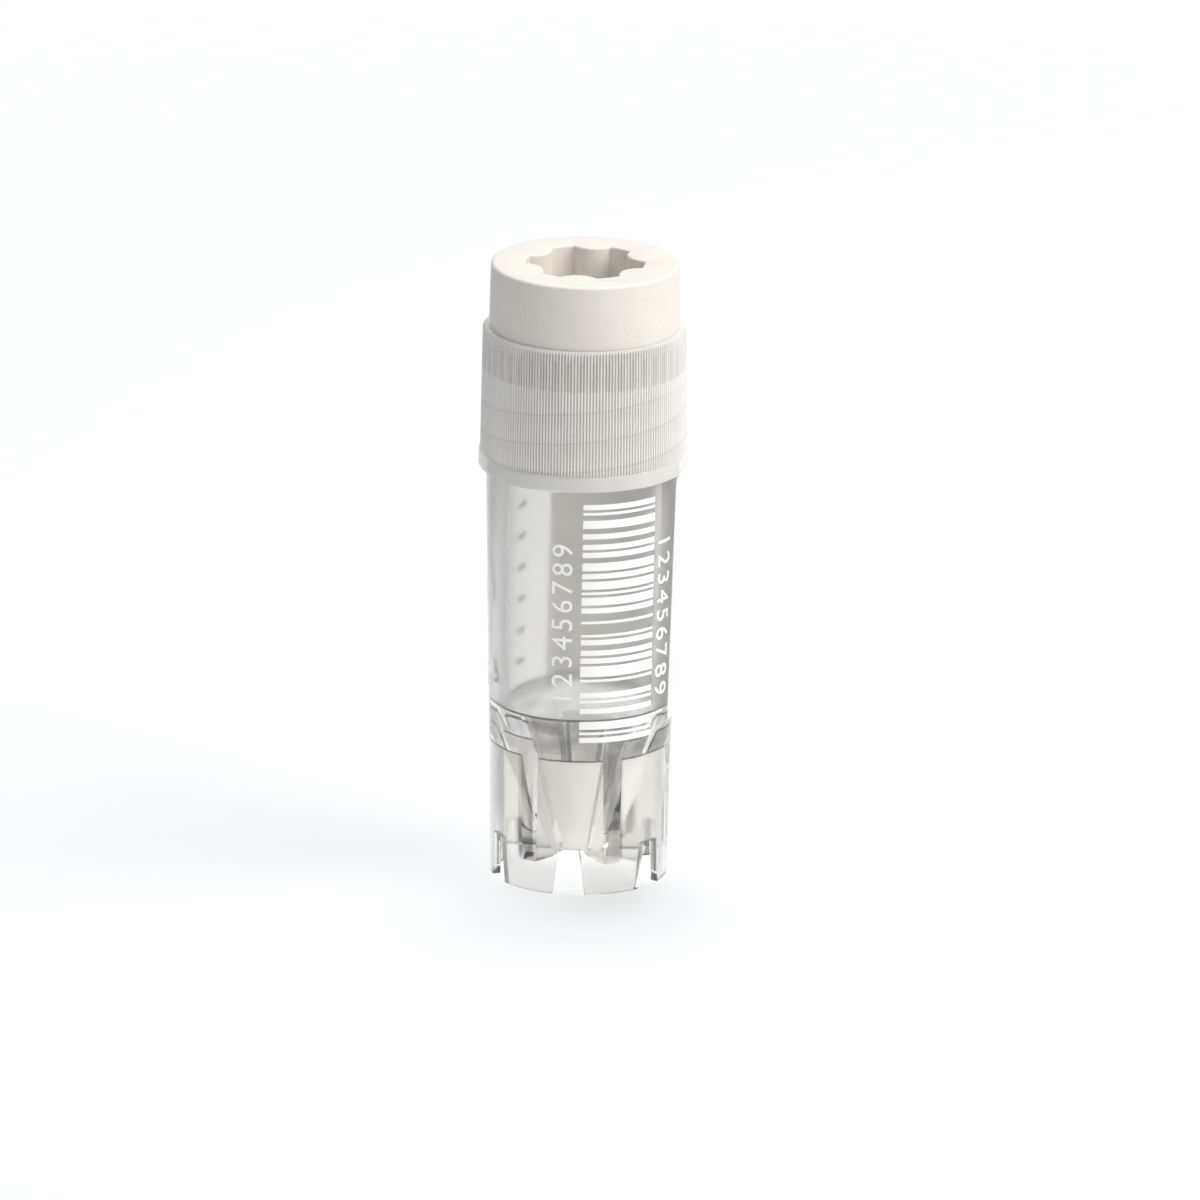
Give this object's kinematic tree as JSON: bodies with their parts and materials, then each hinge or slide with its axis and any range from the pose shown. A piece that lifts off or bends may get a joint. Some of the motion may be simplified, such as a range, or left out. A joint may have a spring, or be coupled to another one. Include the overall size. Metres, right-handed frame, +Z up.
{
  "type": "cryovial",
  "caption": "Self-standing cryogenic vial: clear tube with outside thread, conical bottom and notched star foot, closed by a ribbed screw cap with a six-lobed drive socket.",
  "frame": {"origin": "centre of the circle on which the foot stands", "axes": "+Z up along the vial's axis, +X through one of the six foot ribs and one lobe of the drive socket"},
  "size_m": [0.0138, 0.0138, 0.042],
  "materials": {
    "tube_clear": "clear polypropylene, polished",
    "skirt_natural": "natural translucent polypropylene, ribbed grip",
    "insert_white": "warm white opaque polypropylene, fine matt",
    "seal_silicone": "translucent white silicone"
  },
  "bodies": {
    "tube": {"tube": "tube_clear"},
    "seal": {"seal_ring": "seal_silicone"},
    "cap": {"cap_skirt": "skirt_natural", "cap_insert": "insert_white"}
  },
  "joints": [
    {"name": "cap_rise", "type": "slide", "parent": "tube", "child": "seal", "axis": [0, 0, 1], "range_m": [0, 0.005]},
    {"name": "cap_turn", "type": "hinge", "parent": "seal", "child": "cap", "pos_m": [0, 0, 0.035], "axis": [0, 0, 1], "range_deg": [0, 450]}
  ],
  "couplings": [
    {"joint": "cap_turn", "follows": "cap_rise", "rad_per_m": 1570.8}
  ]
}
